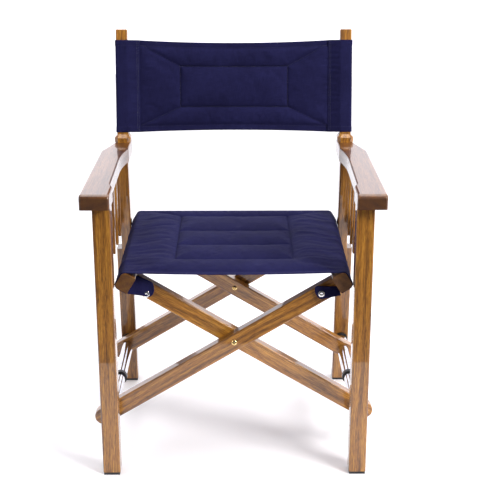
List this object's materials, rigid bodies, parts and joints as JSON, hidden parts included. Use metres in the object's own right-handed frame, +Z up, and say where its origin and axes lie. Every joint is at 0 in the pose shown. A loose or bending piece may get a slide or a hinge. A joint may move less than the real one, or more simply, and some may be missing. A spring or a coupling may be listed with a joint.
{
  "type": "folding director's chair",
  "caption": "Folding director's chair: varnished wooden side frames with armrests, crossed strut frames on steel axles, and quilted canvas seat and back.",
  "frame": {"origin": "on the floor at the middle of the chair's bounding box", "axes": "+Z up, -Y towards the front of the chair, +X to the right as seen from the front"},
  "size_m": [0.5988, 0.5223, 0.8716],
  "materials": {
    "varnished_wood": "high-gloss clear varnish over golden-brown grain",
    "navy_canvas": "plain-woven canvas, quilted with matching thread",
    "polished_steel": "polished stainless steel",
    "brass": "polished brass",
    "black_plastic": "black moulded plastic"
  },
  "bodies": {
    "side_left": {"front_leg_left": "varnished_wood", "rear_leg_left": "varnished_wood", "foot_glides_left": "black_plastic", "armrest_left": "varnished_wood", "arm_dowels_left": "varnished_wood", "side_rail_left": "varnished_wood", "arm_slats_left": "varnished_wood", "axle_rod_left": "polished_steel", "axle_front_tube_left": "polished_steel", "axle_rear_tube_left": "polished_steel", "axle_collar_left": "black_plastic", "axle_spacers_left": "polished_steel", "axle_end_rings_left": "black_plastic", "back_post_left": "varnished_wood", "post_collar_left": "varnished_wood", "back_canvas": "navy_canvas"},
    "outer_frame": {"strut_outer_front": "varnished_wood", "strut_outer_rear": "varnished_wood", "seat_rail_right": "varnished_wood", "rail_screws_right": "brass", "cross_bolt_front": "brass", "cross_bolt_rear": "brass", "cross_washers": "brass", "seat_canvas": "navy_canvas", "seat_tab_right": "navy_canvas", "seat_stud_right": "polished_steel"},
    "inner_frame": {"strut_inner_front": "varnished_wood", "strut_inner_rear": "varnished_wood", "seat_rail_left": "varnished_wood", "rail_screws_left": "brass", "seat_tab_left": "navy_canvas", "seat_stud_left": "polished_steel"},
    "side_right": {"front_leg_right": "varnished_wood", "rear_leg_right": "varnished_wood", "foot_glides_right": "black_plastic", "armrest_right": "varnished_wood", "arm_dowels_right": "varnished_wood", "side_rail_right": "varnished_wood", "arm_slats_right": "varnished_wood", "axle_rod_right": "polished_steel", "axle_front_tube_right": "polished_steel", "axle_rear_tube_right": "polished_steel", "axle_collar_right": "black_plastic", "axle_spacers_right": "polished_steel", "axle_end_rings_right": "black_plastic", "back_post_right": "varnished_wood", "post_collar_right": "varnished_wood"}
  },
  "joints": [
    {"name": "fold", "type": "hinge", "parent": "side_left", "child": "outer_frame", "pos_m": [-0.26, 0, 0.119], "axis": [0, -1, 0], "range_deg": [0, 41], "deforming": ["back_canvas"]},
    {"name": "cross_pivot", "type": "hinge", "parent": "outer_frame", "child": "inner_frame", "pos_m": [0, 0, 0.2774], "axis": [0, 1, 0], "range_deg": [0, 88.2], "deforming": ["seat_canvas"]},
    {"name": "right_low_pivot", "type": "hinge", "parent": "inner_frame", "child": "side_right", "pos_m": [0.26, 0, 0.119], "axis": [0, -1, 0], "range_deg": [0, 41]}
  ],
  "couplings": [
    {"joint": "cross_pivot", "follows": "fold", "ratio": 2.15},
    {"joint": "right_low_pivot", "follows": "fold", "ratio": 1}
  ]
}
